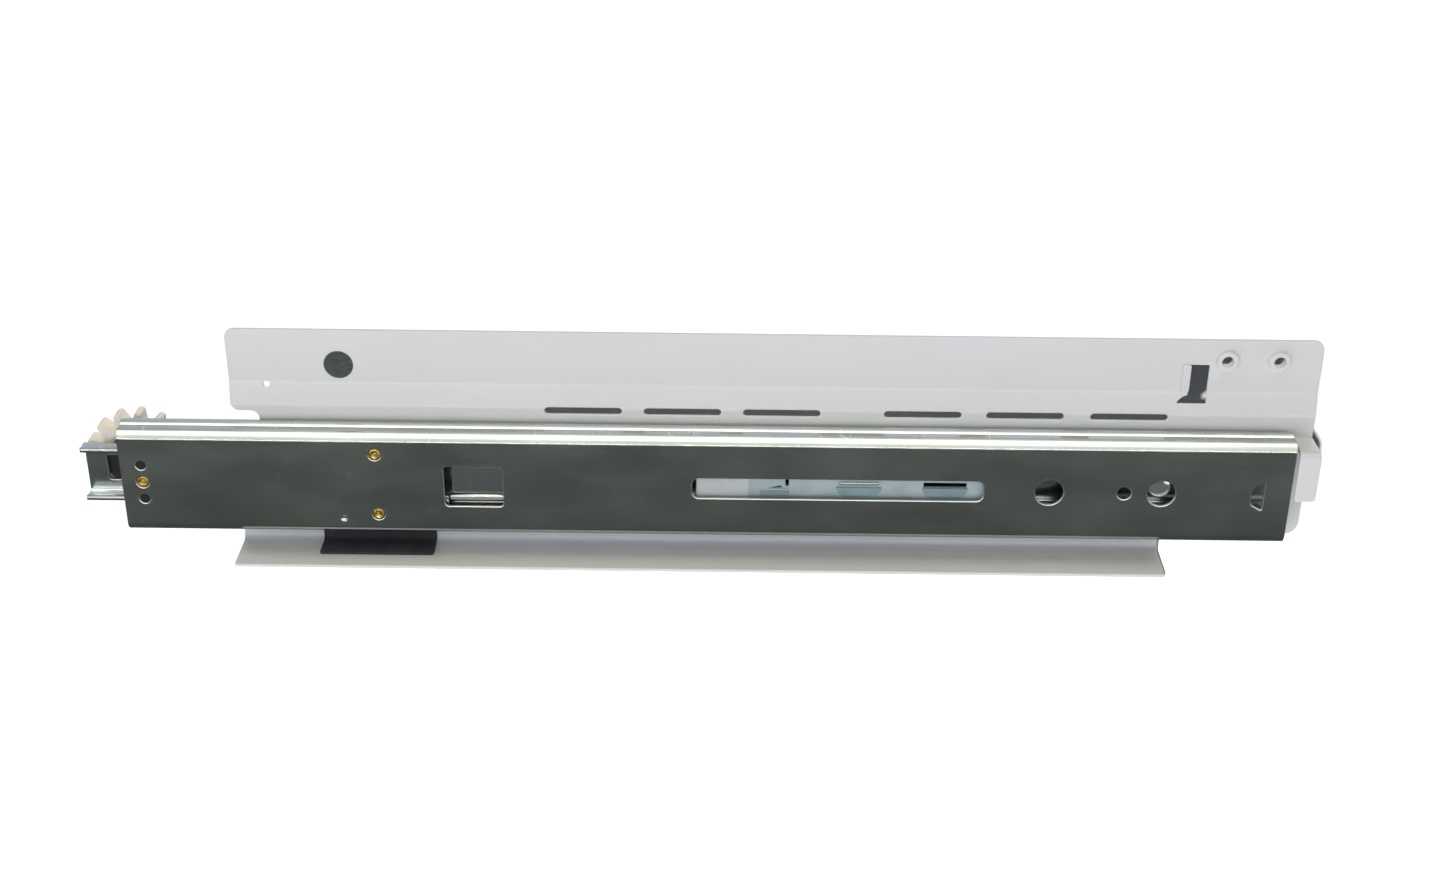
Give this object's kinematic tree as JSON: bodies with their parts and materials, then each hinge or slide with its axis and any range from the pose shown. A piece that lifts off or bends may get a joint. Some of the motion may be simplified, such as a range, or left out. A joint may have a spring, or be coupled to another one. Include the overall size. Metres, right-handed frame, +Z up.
{
  "type": "cabinet drawer slide",
  "caption": "Three-member ball-bearing drawer slide with a white drawer bracket, a floor lip, a stop tab and an anti-rack pinion at the rear.",
  "frame": {"origin": "centre of the small fixing hole, on the outer channel's cabinet face", "axes": "+X along the slide towards the drawer front, -Y out of the cabinet face, +Z up"},
  "size_m": [0.5297, 0.0327, 0.1019],
  "materials": {
    "galvanised": "zinc-plated rolled steel, bright bends",
    "powder_white": "semi-gloss white powder coat",
    "yellow_zinc": "yellow-passivated, satin",
    "black_nylon": "moulded, matt",
    "cream_acetal": "moulded, satin",
    "clear_guide": "moulded, pale, semi-gloss",
    "black_foam": "closed-cell foam, matt",
    "ball_steel": "polished",
    "cage_steel": "bright strip",
    "label": "printed film, satin"
  },
  "bodies": {
    "cabinet": {"outer_channel": "galvanised", "rear_stop_block": "black_nylon", "outer_rivets": "yellow_zinc", "outer_front_stops": "black_nylon"},
    "outer_cages": {"outer_cage_upper": "cage_steel", "outer_cage_lower": "cage_steel", "outer_balls_upper": "ball_steel", "outer_balls_lower": "ball_steel"},
    "middle": {"middle_channel": "galvanised", "guide_insert": "clear_guide", "middle_front_stops": "black_nylon", "middle_rear_bumper": "black_nylon"},
    "inner_cages": {"inner_cage_upper": "cage_steel", "inner_cage_lower": "cage_steel", "inner_balls_upper": "ball_steel", "inner_balls_lower": "ball_steel"},
    "drawer": {"inner_channel": "galvanised", "drawer_bracket": "powder_white", "bracket_rivets": "galvanised", "edge_pad": "black_foam", "label_disc": "label", "gear_axle": "galvanised", "gear_washer": "black_nylon", "gear_clip": "cage_steel"},
    "gear": {"pinion_gear": "cream_acetal"}
  },
  "joints": [
    {"name": "middle_slide", "type": "slide", "parent": "cabinet", "child": "middle", "axis": [1, 0, 0], "range_m": [0, 0.23]},
    {"name": "outer_cage_roll", "type": "slide", "parent": "cabinet", "child": "outer_cages", "axis": [1, 0, 0], "range_m": [0, 0.115]},
    {"name": "drawer_slide", "type": "slide", "parent": "middle", "child": "drawer", "axis": [1, 0, 0], "range_m": [0, 0.23]},
    {"name": "inner_cage_roll", "type": "slide", "parent": "middle", "child": "inner_cages", "axis": [1, 0, 0], "range_m": [0, 0.115]},
    {"name": "gear_spin", "type": "hinge", "parent": "drawer", "child": "gear", "pos_m": [-0.4255, 0.0196, 0.002], "axis": [0, 1, 0], "continuous": true}
  ],
  "couplings": [
    {"joint": "outer_cage_roll", "follows": "middle_slide", "ratio": 0.5},
    {"joint": "inner_cage_roll", "follows": "drawer_slide", "ratio": 0.5}
  ]
}
